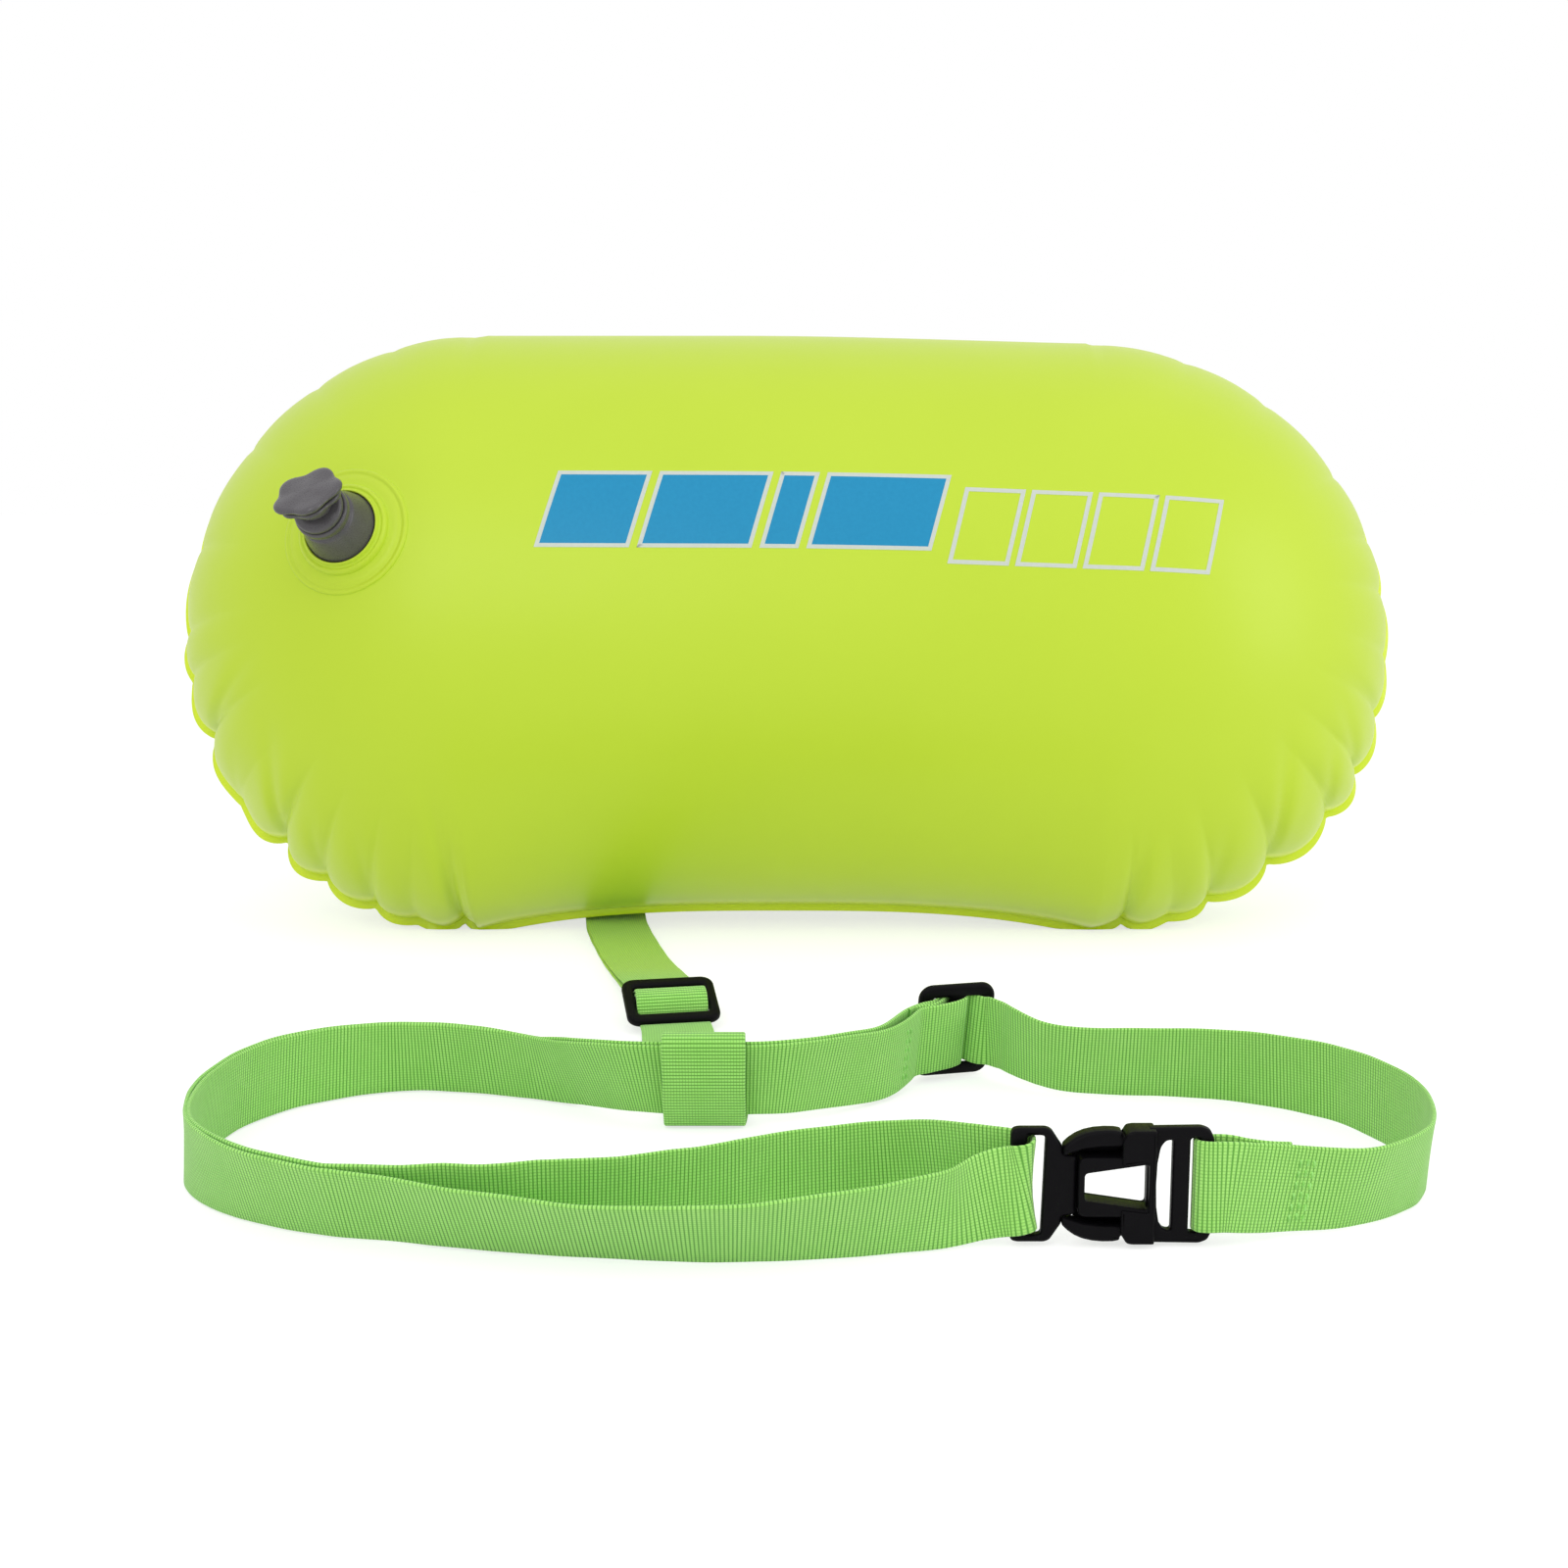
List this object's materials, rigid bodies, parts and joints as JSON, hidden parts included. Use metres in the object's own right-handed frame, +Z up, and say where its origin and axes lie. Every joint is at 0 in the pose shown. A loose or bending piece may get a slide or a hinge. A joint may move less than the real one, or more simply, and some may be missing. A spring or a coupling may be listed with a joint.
{
  "type": "open water swim buoy",
  "caption": "Inflatable lime swim buoy leaning on its edge, with a capped oral valve and a webbing tether to an adjustable waist belt with a side-release buckle.",
  "frame": {"origin": "on the surface that the object stands on, under the middle of its bounding box", "axes": "+X along the bladder towards its end without a valve, -Y to the side with the valve and the belt, +Z up"},
  "size_m": [0.507, 0.4898, 0.2425],
  "materials": {
    "pvc_lime": "matte, soft sheet",
    "webbing_green": "woven, dull",
    "thread_green": "sewing thread, dull",
    "acetal_black": "moulded, satin",
    "valve_grey": "moulded, satin",
    "silicone_clear": "soft, satin"
  },
  "bodies": {
    "buoy": {"front_panel": "pvc_lime", "back_panel": "pvc_lime", "valve_base": "pvc_lime", "valve_stem": "valve_grey", "anchor_patch": "pvc_lime", "tether_strap": "webbing_green", "belt_strap": "webbing_green", "buckle_female": "acetal_black", "sleeve_stitch": "thread_green", "tether_slider_stitch": "thread_green", "belt_slider_stitch": "thread_green", "buckle_stitch": "thread_green"},
    "seal": {"cap_seal": "silicone_clear"},
    "cap": {"valve_cap": "valve_grey"},
    "flap": {"check_flap": "silicone_clear"},
    "buckle_male_half": {"buckle_male": "acetal_black"},
    "prong_upper": {"buckle_prong_upper": "acetal_black"},
    "prong_lower": {"buckle_prong_lower": "acetal_black"},
    "belt_slider_body": {"belt_slider": "acetal_black"},
    "tether_slider_body": {"tether_slider": "acetal_black"}
  },
  "joints": [
    {"name": "cap_lift", "type": "slide", "parent": "buoy", "child": "seal", "axis": [-0.2497, -0.8743, 0.4162], "range_m": [0, 0.005]},
    {"name": "cap_turn", "type": "hinge", "parent": "seal", "child": "cap", "pos_m": [-0.1698, 0.08849, 0.16584], "axis": [-0.2497, -0.8743, 0.4162], "range_deg": [0, 720]},
    {"name": "flap_open", "type": "slide", "parent": "buoy", "child": "flap", "axis": [0.2497, 0.8743, -0.4162], "range_m": [0, 0.0012], "stiffness_N_per_m": 20},
    {"name": "buckle_release", "type": "slide", "parent": "buoy", "child": "buckle_male_half", "axis": [-1, 0, 0], "range_m": [0, 0.022], "deforming": ["buckle_prong_upper", "buckle_prong_lower", "belt_strap"]},
    {"name": "prong_upper_squeeze", "type": "hinge", "parent": "buckle_male_half", "child": "prong_upper", "pos_m": [0.0724, -0.218, 0.0259], "axis": [0, 1, 0], "range_deg": [0, 7], "stiffness_Nm_per_rad": 2.5},
    {"name": "prong_lower_squeeze", "type": "hinge", "parent": "buckle_male_half", "child": "prong_lower", "pos_m": [0.0724, -0.218, 0.0069], "axis": [0, -1, 0], "range_deg": [0, 7], "stiffness_Nm_per_rad": 2.5},
    {"name": "belt_slider_slide", "type": "slide", "parent": "buoy", "child": "belt_slider_body", "axis": [0.9703, 0.2419, 0], "range_m": [-0.008, 0.008], "deforming": ["belt_strap", "belt_slider_stitch"]},
    {"name": "tether_slider_slide", "type": "slide", "parent": "buoy", "child": "tether_slider_body", "axis": [0.1793, -0.9224, -0.342], "range_m": [-0.012, 0.005], "deforming": ["tether_strap", "tether_slider_stitch"]}
  ],
  "couplings": [
    {"joint": "cap_lift", "follows": "cap_turn", "m_per_rad": 0.00039785}
  ]
}
